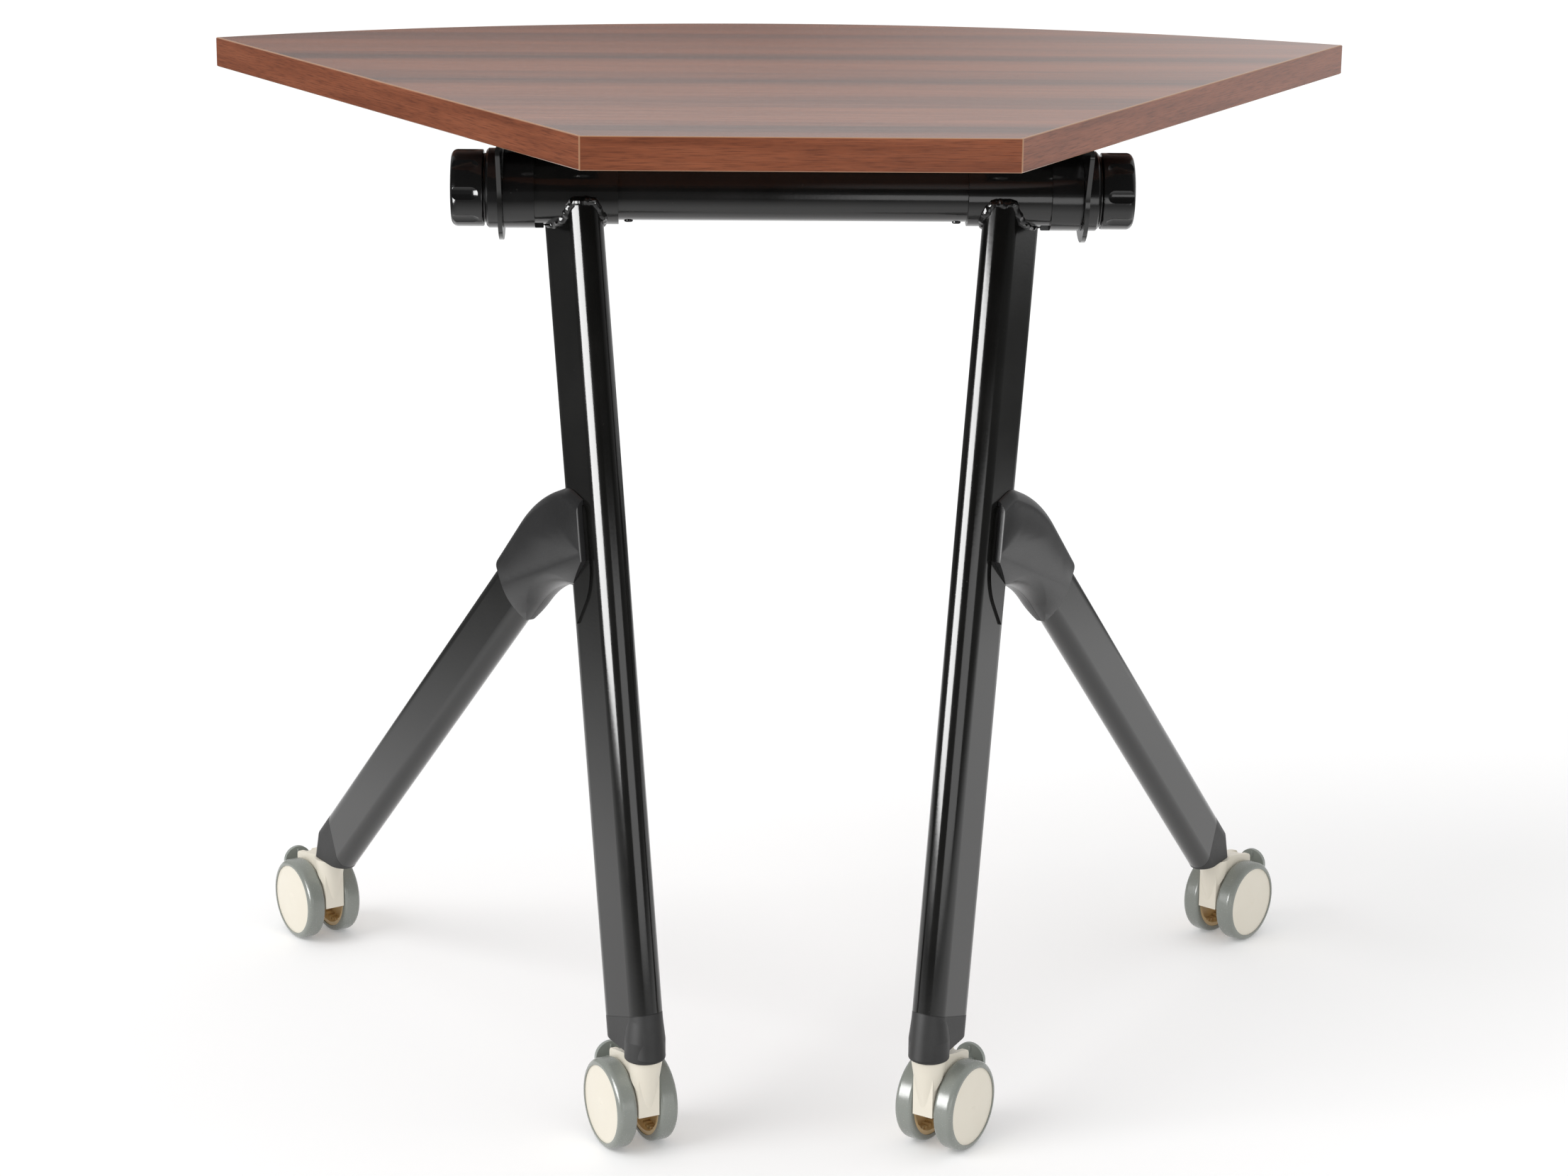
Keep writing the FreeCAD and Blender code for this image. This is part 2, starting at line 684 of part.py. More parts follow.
def caster_housing():
    # A web between the wheels under a tapering swivel boss, with a hood slotted for the brake pedal.
    eye = axle_height - web_eye_radius
    web_front_bottom = housing_top - web_front_depth
    web = rounded_outline([
        (-web_front_reach, housing_top, 0),
        (boss_diameter / 2, housing_top, hood_bend_radius),
        (trail + web_rear_reach, housing_top - hood_fall, web_round),
        (trail + web_rear_reach, pedal_pin_height - pedal_barrel_radius, web_round),
        (trail + web_eye_radius, eye, web_eye_radius - running_fit),
        (trail - web_eye_radius, eye, web_eye_radius / 2),
        (trail - web_eye_radius, web_front_bottom, web_round / 2),
        (-web_front_reach, web_front_bottom, 0),
    ], in_xz)
    body = Part.Face(web).extrude(Vector(0, web_width, 0))
    body.translate(Vector(0, -web_width / 2, 0))
    boss_base = Vector(0, 0, web_front_bottom)
    boss = Part.makeCone(boss_diameter / 2 - boss_taper, boss_diameter / 2, web_front_depth, boss_base)
    for cheek in (1, -1):
        scoop_place = Vector(trail, cheek * web_width / 2, axle_height)
        scoop = round_bar(wheel_diameter + 2 * wheel_gap, scoop_place, boss_diameter, along_y * cheek)
        boss = boss.cut(scoop)
    slot_reach = pedal_pin_reach - pedal_barrel_radius - seat_gap
    slot_width = pedal_width + 2 * seat_gap
    slot_bottom = pedal_pin_height - pedal_barrel_radius - seat_gap
    slot = Part.makeBox(wheel_diameter, slot_width, mount_height,
                        Vector(slot_reach, -slot_width / 2, slot_bottom))
    body = body.fuse(boss).cut(slot)
    body = body.cut(round_bar(stem_diameter, Vector(0, 0, housing_top - stem_seat), stem_seat, along_z))
    for diameter, reach, height in ((axle_diameter, trail, axle_height),
                                    (pedal_pin_diameter, pedal_pin_reach, pedal_pin_height)):
        body = body.cut(round_bar(diameter, Vector(reach, -web_width / 2, height), web_width, along_y))
    return body


def caster_pins():
    # The swivel stem, the axle and the pedal's pin.
    stem = round_bar(stem_diameter, Vector(0, 0, housing_top - stem_seat), stem_seat + swivel_gap + stem_rise, along_z)
    axle_end = wheel_offset + wheel_width - hub_crown - hub_bore_cover - seat_gap
    axle = round_bar(axle_diameter, Vector(trail, -axle_end, axle_height), 2 * axle_end, along_y)
    pin_place = Vector(pedal_pin_reach, -web_width / 2, pedal_pin_height)
    return stem, axle, round_bar(pedal_pin_diameter, pin_place, web_width, along_y)


def brake_pedal():
    # A lever between the housing's cheeks, with a round-topped foot tab behind the wheels.
    pin = Vector(pedal_pin_reach, -pedal_width / 2, pedal_pin_height)
    tab_reach = trail + tab_back
    barrel = round_bar(2 * pedal_barrel_radius, pin, pedal_width, along_y)
    arm = rounded_outline([
        (pedal_pin_reach, pedal_pin_height - pedal_barrel_radius / 2, 0),
        (tab_reach + tab_thickness, tab_bottom, 0),
        (tab_reach + tab_thickness, tab_bottom + pedal_barrel_radius, 0),
        (pedal_pin_reach, pedal_pin_height + pedal_barrel_radius - tab_root_round / 2, 0),
    ], in_xz)
    arm = Part.Face(arm).extrude(Vector(0, pedal_width, 0))
    arm.translate(Vector(0, -pedal_width / 2, 0))
    half = tab_width / 2
    tab = rounded_outline([
        (-half, tab_bottom, tab_root_round),
        (half, tab_bottom, tab_root_round),
        (half, tab_top, half - running_fit),
        (-half, tab_top, half - running_fit),
    ], in_yz)
    tab = Part.Face(tab).extrude(Vector(tab_thickness, 0, 0))
    tab.translate(Vector(tab_reach, 0, 0))
    hole = round_bar(pedal_pin_diameter + 2 * running_fit, pin, pedal_width, along_y)
    return barrel.fuse([arm, tab]).removeSplitter().cut(hole)


def tyre():
    # Wheel pieces are turned round Z, from the inner side at 0 to the outer side.
    profile = rounded_outline([
        (hub_radius, 0, 0),
        (wheel_diameter / 2, 0, tyre_inner_round),
        (wheel_diameter / 2, wheel_width, tyre_outer_round),
        (hub_radius, wheel_width, 0),
    ], in_xz)
    return Part.Face(profile).revolve(origin, along_z, 360)


def ratchet_teeth():
    # Square brake teeth that point inwards from the hub's rim.
    rim = hub_radius - hub_rim
    half_step = math.pi / tooth_count
    points = []
    for step in range(tooth_count):
        for turn, radius in ((0, rim - tooth_depth), (1, rim - tooth_depth), (1, rim), (2, rim)):
            angle = (2 * step + turn) * half_step
            points.append(Vector(radius * math.cos(angle), radius * math.sin(angle), 0))
    gap = Part.Face(Part.makePolygon(points + points[:1])).extrude(Vector(0, 0, tooth_length))
    ring = Part.makeCylinder(rim + hub_rim / 2, tooth_length).cut(gap)
    ring.translate(Vector(0, 0, wheel_width - hub_crown - hub_disc - tooth_length))
    return ring


def wheel_hub():
    # A crowned disc with a rim under the tyre, a bored boss and the brake's ring of teeth.
    bore = axle_diameter / 2 + running_fit
    rim = hub_radius - hub_rim
    disc = wheel_width - hub_crown - hub_disc
    edge = wheel_width - hub_crown
    cover = edge - hub_bore_cover
    points = [
        (0, cover), (bore, cover), (bore, 0), (hub_boss_radius, 0), (hub_boss_radius, disc),
        (rim, disc), (rim, hub_rim_inset), (hub_radius, hub_rim_inset), (hub_radius, edge),
    ]
    corners = [Vector(radius, 0, height) for radius, height in points]
    crown_top = Vector(0, 0, wheel_width)
    crown_radius = (hub_radius ** 2 + hub_crown ** 2) / (2 * hub_crown)
    crown_fall = crown_radius - math.sqrt(crown_radius ** 2 - hub_radius ** 2 / 4)
    crown_middle = Vector(hub_radius / 2, 0, wheel_width - crown_fall)
    lines = Part.makePolygon(corners).Edges
    crown = Part.Arc(corners[-1], crown_middle, crown_top).toShape()
    closing = Part.makeLine(crown_top, corners[0])
    hub = Part.Face(Part.Wire(lines + [crown, closing])).revolve(origin, along_z, 360)
    return hub.fuse(ratchet_teeth()).removeSplitter()


def on_axle(shape, cheek):
    # From a wheel's own frame to its side of the caster.
    copy = turned(shape, origin, along_x, -90.0 * cheek)
    copy.translate(Vector(trail, cheek * wheel_offset, axle_height))
    return copy


def under_leg(shape, side, reach, heading):
    # From a caster's own frame, its stem on Z and trailing along X, to its leg and heading.
    copy = turned(shape, origin, along_z, side * (leg_turn_angle - heading))
    copy.translate(Vector(reach, 0, 0))
    return into_desk(copy, side)


def caster(name, side, reach, heading):
    pieces = {
        "caster_housing": [caster_housing()],
        "caster_pins": caster_pins(),
        "brake_pedal": [brake_pedal()],
        "tyre_outer": [on_axle(tyre(), -side)],
        "hub_outer": [on_axle(wheel_hub(), -side)],
        "tyre_inner": [on_axle(tyre(), side)],
        "hub_inner": [on_axle(wheel_hub(), side)],
    }
    for piece, shapes in pieces.items():
        save(name + "_" + piece, *[under_leg(shape, side, reach, heading) for shape in shapes])


os.makedirs("parts", exist_ok=True)
table_top()
tilt_hubs()
leg_frame(1, "right")
leg_frame(-1, "left")
caster("front_left", -1, front_stem_reach, front_left_heading_angle)
caster("front_right", 1, front_stem_reach, front_right_heading_angle)
caster("rear_left", -1, rear_stem_reach, rear_left_heading_angle)
caster("rear_right", 1, rear_stem_reach, rear_right_heading_angle)
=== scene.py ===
import math
import bpy
from mathutils import Matrix, Vector


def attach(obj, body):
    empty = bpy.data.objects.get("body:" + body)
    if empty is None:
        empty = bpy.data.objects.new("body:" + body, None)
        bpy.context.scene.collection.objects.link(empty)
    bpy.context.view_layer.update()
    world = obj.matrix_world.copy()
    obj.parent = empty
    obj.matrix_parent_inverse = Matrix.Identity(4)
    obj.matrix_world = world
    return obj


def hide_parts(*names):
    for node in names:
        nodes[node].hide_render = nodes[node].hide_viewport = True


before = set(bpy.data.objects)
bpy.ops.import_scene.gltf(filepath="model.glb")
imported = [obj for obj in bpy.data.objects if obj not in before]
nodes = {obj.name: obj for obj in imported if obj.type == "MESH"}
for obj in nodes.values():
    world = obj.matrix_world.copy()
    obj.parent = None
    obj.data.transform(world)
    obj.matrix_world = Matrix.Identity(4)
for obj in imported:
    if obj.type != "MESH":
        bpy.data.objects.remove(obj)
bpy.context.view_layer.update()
bpy.ops.object.select_all(action="DESELECT")


# Table top: a fan-shaped board faced with walnut-look melamine laminate, screwed to two brackets.
# The printed grain runs from left to right in soft bands of brown, under a satin film
# that takes a broad pale sheen at low angles.
def new_finish(name):
    material = bpy.data.materials.new(name)
    material.use_nodes = True
    return material


def add(material, kind, values=None, **settings):
    made = material.node_tree.nodes.new(kind)
    for name, value in settings.items():
        setattr(made, name, value)
    for name, value in (values or {}).items():
        made.inputs[name].default_value = value
    return made


def join(material, source, target):
    material.node_tree.links.new(source, target)


def shader_of(material, values):
    shader = material.node_tree.nodes["Principled BSDF"]
    for name, value in values.items():
        shader.inputs[name].default_value = value
    return shader


def surface_place(material):
    return add(material, "ShaderNodeTexCoord").outputs["Object"]


def ramp(material, source, stops):
    made = add(material, "ShaderNodeValToRGB")
    scale = made.color_ramp.elements
    while len(scale) < len(stops):
        scale.new(0.5)
    for element, (place, colour) in zip(scale, stops):
        element.position = place
        element.color = (*colour, 1.0)
    join(material, source, made.inputs["Fac"])
    return made.outputs["Color"]


def noise(material, coordinates, stretch, detail, roughness=0.55):
    placed = add(material, "ShaderNodeMapping", {"Scale": stretch})
    join(material, coordinates, placed.inputs["Vector"])
    made = add(material, "ShaderNodeTexNoise",
               {"Scale": 1.0, "Detail": detail, "Roughness": roughness})
    join(material, placed.outputs["Vector"], made.inputs["Vector"])
    return made.outputs["Fac"]


mix_base, mix_over, mix_result = 6, 7, 2


def blend_colours(material, kind, factor, base, over):
    made = add(material, "ShaderNodeMix", data_type="RGBA", blend_type=kind)
    if isinstance(factor, float):
        made.inputs["Factor"].default_value = factor
    else:
        join(material, factor, made.inputs["Factor"])
    for place, colour in ((mix_base, base), (mix_over, over)):
        if isinstance(colour, tuple):
            made.inputs[place].default_value = (*colour, 1.0)
        else:
            join(material, colour, made.inputs[place])
    return made.outputs[mix_result]


def in_range(material, source, low, high, to_low=0.0, to_high=1.0):
    made = add(material, "ShaderNodeMapRange",
               {"From Min": low, "From Max": high, "To Min": to_low, "To Max": to_high})
    join(material, source, made.inputs["Value"])
    return made.outputs["Result"]


def work_out(material, operation, first, second=None):
    made = add(material, "ShaderNodeMath", operation=operation)
    for place, value in enumerate((first, second)):
        if isinstance(value, float):
            made.inputs[place].default_value = value
        elif value is not None:
            join(material, value, made.inputs[place])
    return made.outputs["Value"]


def bump(material, shader, height, distance, strength):
    made = add(material, "ShaderNodeBump", {"Strength": strength, "Distance": distance})
    join(material, height, made.inputs["Height"])
    join(material, made.outputs["Normal"], shader.inputs["Normal"])


def dress(material, *names):
    for name in names:
        nodes[name].data.materials.clear()
        nodes[name].data.materials.append(material)


cloud_share = 0.72
stripe_share = 0.28
fibre_strength = 0.75
pore_strength = 0.6
pore_depth = 0.00004
walnut_laminate = new_finish("walnut_laminate")
laminate_shader = shader_of(walnut_laminate, {"Specular IOR Level": 0.5})
laminate_place = surface_place(walnut_laminate)
laminate_stretch = add(walnut_laminate, "ShaderNodeMapping",
                       {"Location": (0.0, 0.025, 0.0), "Scale": (0.10, 1.0, 1.0)})
join(walnut_laminate, laminate_place, laminate_stretch.inputs["Vector"])
laminate_stripes = add(walnut_laminate, "ShaderNodeTexWave",
                       {"Scale": 2.6, "Distortion": 2.2, "Detail": 2.0, "Detail Scale": 2.2},
                       wave_type="BANDS", bands_direction="Y", wave_profile="SIN")
join(walnut_laminate, laminate_stretch.outputs["Vector"], laminate_stripes.inputs["Vector"])
laminate_clouds = noise(walnut_laminate, laminate_place, (0.40, 20.0, 20.0),
                        detail=4.0, roughness=0.62)
laminate_bands = work_out(
    walnut_laminate, "ADD",
    work_out(walnut_laminate, "MULTIPLY", laminate_clouds, cloud_share),
    work_out(walnut_laminate, "MULTIPLY", laminate_stripes.outputs["Fac"], stripe_share))
laminate_fibres = noise(walnut_laminate, laminate_place, (7.0, 330.0, 330.0), detail=4.0)
laminate_pores = noise(walnut_laminate, laminate_place, (60.0, 1500.0, 1500.0), detail=2.0)
laminate_colour = ramp(walnut_laminate, laminate_bands, [
    (0.32, (0.135, 0.049, 0.027)),
    (0.44, (0.235, 0.080, 0.041)),
    (0.58, (0.335, 0.114, 0.055)),
    (0.74, (0.265, 0.091, 0.045)),
])
laminate_fibre_tint = ramp(walnut_laminate, laminate_fibres, [
    (0.32, (0.66, 0.64, 0.63)),
    (0.62, (1.12, 1.10, 1.08)),
])
laminate_pore_tint = ramp(walnut_laminate, laminate_pores, [
    (0.30, (0.45, 0.42, 0.40)),
    (0.42, (1.0, 1.0, 1.0)),
])
for strength, tint in ((fibre_strength, laminate_fibre_tint), (pore_strength, laminate_pore_tint)):
    laminate_colour = blend_colours(walnut_laminate, "MULTIPLY", strength, laminate_colour, tint)
join(walnut_laminate, laminate_colour, laminate_shader.inputs["Base Color"])
laminate_gloss = in_range(walnut_laminate, laminate_fibres, 0.25, 0.75, to_low=0.12, to_high=0.08)
join(walnut_laminate, laminate_gloss, laminate_shader.inputs["Roughness"])
bump(walnut_laminate, laminate_shader, laminate_pores, pore_depth, strength=0.3)
dress(walnut_laminate, "top_panel")

# Edge bands: two-millimetre strips of redder walnut print, glued round the board, trimmed flush.
# A painted highlight in lighter brown lies along their bevelled rims and at the corner joints.
band_bottom = 0.713
band_top = 0.735
band_bevel = 0.0006
front_corner_x = 0.140
rear_corner_x = 0.430
corner_highlight_outer = 0.0007
corner_highlight_inner = 0.0003
streak_strength = 0.85
band_pore_depth = 0.00008
band_highlight_colour = (0.42, 0.225, 0.125)


def split(material, source):
    made = add(material, "ShaderNodeSeparateXYZ")
    join(material, source, made.inputs["Vector"])
    return made.outputs


def dot(material, source, weights):
    made = add(material, "ShaderNodeVectorMath", operation="DOT_PRODUCT")
    join(material, source, made.inputs[0])
    made.inputs[1].default_value = weights
    return made.outputs["Value"]


def edge_band_finish(name, run_weights, corner_x):
    material = new_finish(name)
    shader = shader_of(material, {"Specular IOR Level": 0.5})
    parts = split(material, surface_place(material))
    side = work_out(material, "ABSOLUTE", parts["X"])
    folded = add(material, "ShaderNodeCombineXYZ")
    join(material, side if run_weights[1] else parts["X"], folded.inputs["X"])
    join(material, parts["Y"], folded.inputs["Y"])
    along = add(material, "ShaderNodeCombineXYZ")
    join(material, dot(material, folded.outputs["Vector"], run_weights), along.inputs["X"])
    join(material, parts["Z"], along.inputs["Z"])
    strip = along.outputs["Vector"]
    bands = noise(material, strip, (5.0, 1.0, 120.0), detail=3.0)
    streaks = noise(material, strip, (55.0, 1.0, 1300.0), detail=3.0, roughness=0.6)
    pores = noise(material, strip, (120.0, 1.0, 2600.0), detail=2.0)
    colour = ramp(material, bands, [
        (0.32, (0.185, 0.051, 0.021)),
        (0.52, (0.245, 0.072, 0.031)),
        (0.70, (0.290, 0.092, 0.042)),
    ])
    streak_tint = ramp(material, streaks, [
        (0.30, (0.50, 0.44, 0.42)),
        (0.50, (1.0, 1.0, 1.0)),
        (0.72, (1.22, 1.2, 1.2)),
    ])
    colour = blend_colours(material, "MULTIPLY", streak_strength, colour, streak_tint)
    # Painted highlight: lighter brown on the bevelled top and bottom rims and at the corner joints.
    upper_rim_highlight = in_range(material, parts["Z"],
                         band_top - band_bevel, band_top - band_bevel / 3)
    lower_rim_highlight = in_range(material, parts["Z"],
                         band_bottom + band_bevel, band_bottom + band_bevel / 3)
    rim_highlights = work_out(material, "MAXIMUM", upper_rim_highlight, lower_rim_highlight)
    corner = work_out(material, "ABSOLUTE", work_out(material, "SUBTRACT", side, corner_x))
    corner = in_range(material, corner, corner_highlight_outer, corner_highlight_inner)
    painted_highlight = work_out(material, "MAXIMUM", rim_highlights, corner)
    join(material, blend_colours(material, "MIX", painted_highlight, colour, band_highlight_colour),
         shader.inputs["Base Color"])
    gloss = in_range(material, streaks, 0.25, 0.75, to_low=0.25, to_high=0.17)
    join(material, gloss, shader.inputs["Roughness"])
    bump(material, shader, pores, band_pore_depth, strength=0.4)
    return material


fan_half_angle = math.radians(30.0)
along_front = (1.0, 0.0, 0.0)
along_side = (math.sin(fan_half_angle), math.cos(fan_half_angle), 0.0)
dress(edge_band_finish("walnut_edge_front", along_front, front_corner_x), "edge_band_front")
dress(edge_band_finish("walnut_edge_sides", along_side, front_corner_x), "edge_bands_sides")
dress(edge_band_finish("walnut_edge_rear", along_front, rear_corner_x), "edge_band_rear")


# Top brackets: bent steel plates screwed under the board, whose ears hang round the pivot.
# They are enamelled gloss black, with the faint orange-peel skin of a baked coat.
def enamel_finish(name, colour, roughness, peel):
    material = new_finish(name)
    shader = shader_of(material, {"Specular IOR Level": 0.5})
    place = surface_place(material)
    cloud = noise(material, place, (18.0, 18.0, 18.0), detail=3.0)
    skin = noise(material, place, (420.0, 420.0, 420.0), detail=2.0)
    dust = noise(material, place, (900.0, 900.0, 900.0), detail=1.0)
    shade = ramp(material, cloud, [
        (0.3, tuple(0.75 * c for c in colour)),
        (0.7, tuple(1.3 * c for c in colour)),
    ])
    specks = ramp(material, dust, [(0.80, (0.0, 0.0, 0.0)), (0.84, (0.10, 0.10, 0.095))])
    join(material, blend_colours(material, "ADD", 1.0, shade, specks), shader.inputs["Base Color"])
    gloss = in_range(material, cloud, 0.3, 0.7, to_low=0.85 * roughness, to_high=1.2 * roughness)
    join(material, gloss, shader.inputs["Roughness"])
    bump(material, shader, skin, peel, strength=0.3)
    return material


black_enamel = enamel_finish("black_enamel_steel", (0.0065, 0.0065, 0.006),
                             roughness=0.14, peel=0.00005)
sides = ("left", "right")
dress(black_enamel, *["top_bracket_" + side for side in sides])

# Bracket screws: four pan-head wood screws with a cross recess hold each bracket to the board.
# They are zinc-plated steel, turned and stamped, with a fine mottled shine.
bright_steel = new_finish("bright_steel")
steel_shader = shader_of(bright_steel, {"Metallic": 1.0})
steel_cloud = noise(bright_steel, surface_place(bright_steel), (90.0, 90.0, 90.0), detail=4.0)
steel_colour = ramp(bright_steel, steel_cloud, [
    (0.3, (0.42, 0.42, 0.41)),
    (0.7, (0.62, 0.61, 0.59)),
])
join(bright_steel, steel_colour, steel_shader.inputs["Base Color"])
steel_gloss = in_range(bright_steel, steel_cloud, 0.3, 0.7, to_low=0.25, to_high=0.42)
join(bright_steel, steel_gloss, steel_shader.inputs["Roughness"])

hands = ((-1.0, "left"), (1.0, "right"))
flange_under = 0.710
screw_sides = 40
screw_head_radius = 0.0042
screw_head_depth = 0.0030
screw_head_dome = 0.0016
dome_segments = 5
recess_length = 0.0048
recess_width = 0.0012
recess_depth = 0.0014
first_twist = 0.5
further_twist = 0.7
rim_gap = 1e-6
smooth_angle = math.radians(35.0)
flange_screw_places = [(x, y) for x in (0.143, 0.180) for y in (-0.176, -0.094)]


def pick(piece):
    bpy.ops.object.select_all(action="DESELECT")
    piece.select_set(True)
    bpy.context.view_layer.objects.active = piece


def unpick_mesh(kind):
    bpy.ops.object.mode_set(mode="EDIT")
    bpy.ops.mesh.select_mode(type=kind)
    bpy.ops.mesh.select_all(action="DESELECT")
    bpy.ops.object.mode_set(mode="OBJECT")


def select_rim(piece, height):
    unpick_mesh("EDGE")
    for edge in piece.data.edges:
        ends = [piece.data.vertices[index].co.z for index in edge.vertices]
        edge.select = all(abs(end - height) < rim_gap for end in ends)
    bpy.ops.object.mode_set(mode="EDIT")


def cut_away(piece, tool):
    bpy.context.view_layer.update()
    cut = piece.modifiers.new("cut", "BOOLEAN")
    cut.operation = "DIFFERENCE"
    cut.solver = "EXACT"
    cut.object = tool
    bpy.context.view_layer.objects.active = piece
    bpy.ops.object.modifier_apply(modifier="cut")
    bpy.data.objects.remove(tool)


def settle(piece, finish):
    pick(piece)
    bpy.ops.object.transform_apply(location=True, rotation=True, scale=True)
    bpy.ops.object.shade_smooth_by_angle(angle=smooth_angle)
    piece.select_set(False)
    piece.data.materials.clear()
    piece.data.materials.append(finish)


def screw_head(name, radius, depth, dome):
    bpy.ops.object.select_all(action="DESELECT")
    bpy.ops.mesh.primitive_cylinder_add(vertices=screw_sides, radius=radius, depth=depth,
                                        location=(0.0, 0.0, 0.0))
    head = bpy.context.object
    head.name = name
    select_rim(head, -depth / 2)
    bpy.ops.mesh.bevel(offset=dome, segments=dome_segments, profile=0.5, affect="EDGES")
    bpy.ops.object.mode_set(mode="OBJECT")
    for turn in (0.0, math.pi / 2):
        bpy.ops.mesh.primitive_cube_add(size=1.0, location=(0.0, 0.0, -depth / 2),
                                        rotation=(0.0, 0.0, turn))
        blade = bpy.context.object
        blade.scale = (radius * recess_length / screw_head_radius,
                       radius * recess_width / screw_head_radius,
                       2 * depth * recess_depth / screw_head_depth)
        cut_away(head, blade)
    return head


def place_copy(pattern, name, matrix, finish, body):
    piece = pattern.copy()
    piece.data = pattern.data.copy()
    piece.name = name
    bpy.context.scene.collection.objects.link(piece)
    piece.matrix_world = matrix
    settle(piece, finish)
    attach(piece, body)


bracket_screw = screw_head("bracket_screw_pattern", screw_head_radius, screw_head_depth,
                           screw_head_dome)
for hand, side in hands:
    for count, (x, y) in enumerate(flange_screw_places):
        seat = Matrix.Translation((hand * x, y, flange_under - screw_head_depth / 2))
        twist = Matrix.Rotation(first_twist + further_twist * count, 4, "Z")
        place_copy(bracket_screw, "bracket_screw_%s_%d" % (side, count + 1), seat @ twist,
                   bright_steel, "top")
bpy.data.objects.remove(bracket_screw)

# Pivot beam: a round steel tube across the front of the top, in the same gloss black enamel.
# A low round-headed set screw under it, beside each leg's sleeve, keeps the sleeve from creeping.
beam_y = -0.134756
beam_z = 0.674
beam_radius = 0.02135
set_screw_x = 0.1117
set_screw_tilt = math.radians(8.0)
set_screw_radius = 0.0030
set_screw_depth = 0.0022
set_screw_dome = 0.0012
set_screw_lift = 0.0003
dress(black_enamel, "beam_tube", "beam_end_plugs")
set_screw = screw_head("set_screw_pattern", set_screw_radius, set_screw_depth, set_screw_dome)
for hand, side in hands:
    axis = Matrix.Translation((hand * set_screw_x, beam_y, beam_z))
    drop = Matrix.Translation((0.0, 0.0, -beam_radius - set_screw_lift))
    seat = axis @ Matrix.Rotation(-set_screw_tilt, 4, "X") @ drop
    place_copy(set_screw, "beam_set_screw_" + side, seat,
               black_enamel, "frame")
bpy.data.objects.remove(set_screw)

# Leg sleeves and main legs: short tubes on the beam, and flat-oval tubes welded under them.
# Both are steel in the beam's enamel; the legs lean forwards and stand turned outwards.
dress(black_enamel, *["leg_sleeve_" + side for side in sides])
dress(black_enamel, *["main_leg_" + side for side in sides])

# Weld beads: hand-laid welds round the tops of the main legs, where they meet the sleeves.
# The beads are lumpy, about six millimetres wide, and lie under the same coat of enamel.
leg_spread = 0.1505
leg_turn = math.radians(31.8)
leg_lean = math.radians(8.1)
leg_flat_half = 0.015
leg_round = 0.0125
leg_top_drop = 0.005
sleeve_radius = 0.0243
bead_radius = 0.0029
bead_points = 240
ripple_size = 0.0042
lump_height = 0.0034
bead_weld = 0.00001


def leg_outline(share):
    straight = 2 * leg_flat_half
    arc = math.pi * leg_round
    way = share * 2 * (straight + arc)
    if way < straight:
        return -leg_flat_half + way, -leg_round
    way -= straight
    if way < arc:
        turn = way / leg_round - math.pi / 2
        return leg_flat_half + leg_round * math.cos(turn), leg_round * math.sin(turn)
    way -= arc
    if way < straight:
        return leg_flat_half - way, leg_round
    turn = (way - straight) / leg_round + math.pi / 2
    return -leg_flat_half + leg_round * math.cos(turn), leg_round * math.sin(turn)


def bead_point(hand, share):
    run, side = leg_outline(share)
    back_start = (math.cos(leg_turn) * run * math.cos(leg_lean)
                  + hand * math.sin(leg_turn) * side)
    back_rate = math.cos(leg_turn) * math.sin(leg_lean)
    rise_start = -run * math.sin(leg_lean)
    rise_rate = math.cos(leg_lean)
    rise = (-leg_top_drop - rise_start) / rise_rate
    a = back_rate ** 2 + rise_rate ** 2
    b = 2 * (back_start * back_rate + rise_start * rise_rate)
    c = back_start ** 2 + rise_start ** 2 - sleeve_radius ** 2
    if b * b > 4 * a * c:
        rise = min(rise, (-b - math.sqrt(b * b - 4 * a * c)) / (2 * a))
    out = run * math.cos(leg_lean) + rise * math.sin(leg_lean)
    x = hand * (leg_spread + math.sin(leg_turn) * out) - math.cos(leg_turn) * side
    y = beam_y + math.cos(leg_turn) * out + hand * math.sin(leg_turn) * side
    return Vector((x, y, beam_z + rise_start + rise * rise_rate))


ripple = bpy.data.textures.new("weld_ripple", "CLOUDS")
ripple.noise_scale = ripple_size
for hand, side in hands:
    bpy.ops.object.select_all(action="DESELECT")
    bpy.ops.mesh.primitive_circle_add(vertices=bead_points, radius=1.0, fill_type="NOTHING",
                                      location=(0.0, 0.0, 0.0))
    bead = bpy.context.object
    bead.name = "weld_bead_" + side
    for index, vertex in enumerate(bead.data.vertices):
        vertex.co = bead_point(hand, index / bead_points)
    bpy.ops.object.convert(target="CURVE")
    bead.data.bevel_depth = bead_radius
    bead.data.bevel_resolution = 4
    bpy.ops.object.convert(target="MESH")
    lumps = bead.modifiers.new("lumps", "DISPLACE")
    lumps.texture = ripple
    lumps.strength = lump_height
    lumps.mid_level = 0.5
    bpy.ops.object.modifier_apply(modifier="lumps")
    ease = bead.modifiers.new("ease", "SMOOTH")
    ease.iterations = 2
    bpy.ops.object.modifier_apply(modifier="ease")
    bpy.ops.object.mode_set(mode="EDIT")
    bpy.ops.mesh.select_all(action="SELECT")
    bpy.ops.mesh.remove_doubles(threshold=bead_weld)
    bpy.ops.mesh.normals_make_consistent(inside=False)
    bpy.ops.object.mode_set(mode="OBJECT")
    settle(bead, black_enamel)
    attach(bead, "frame")

# Friction sleeves, thrust collars and clamping knobs at the two ends of the beam.
# They are turned and moulded in a deep gloss black; each knob screws up on a plated stud.
black_gloss_plastic = enamel_finish("black_gloss_plastic", (0.0065, 0.0065, 0.0065),
                                    roughness=0.15, peel=0.00003)
for piece in ("friction_sleeve", "thrust_collar", "tilt_knob"):
    dress(black_gloss_plastic, *[piece + "_" + side for side in sides])
dress(bright_steel, *["knob_stud_" + side for side in sides])

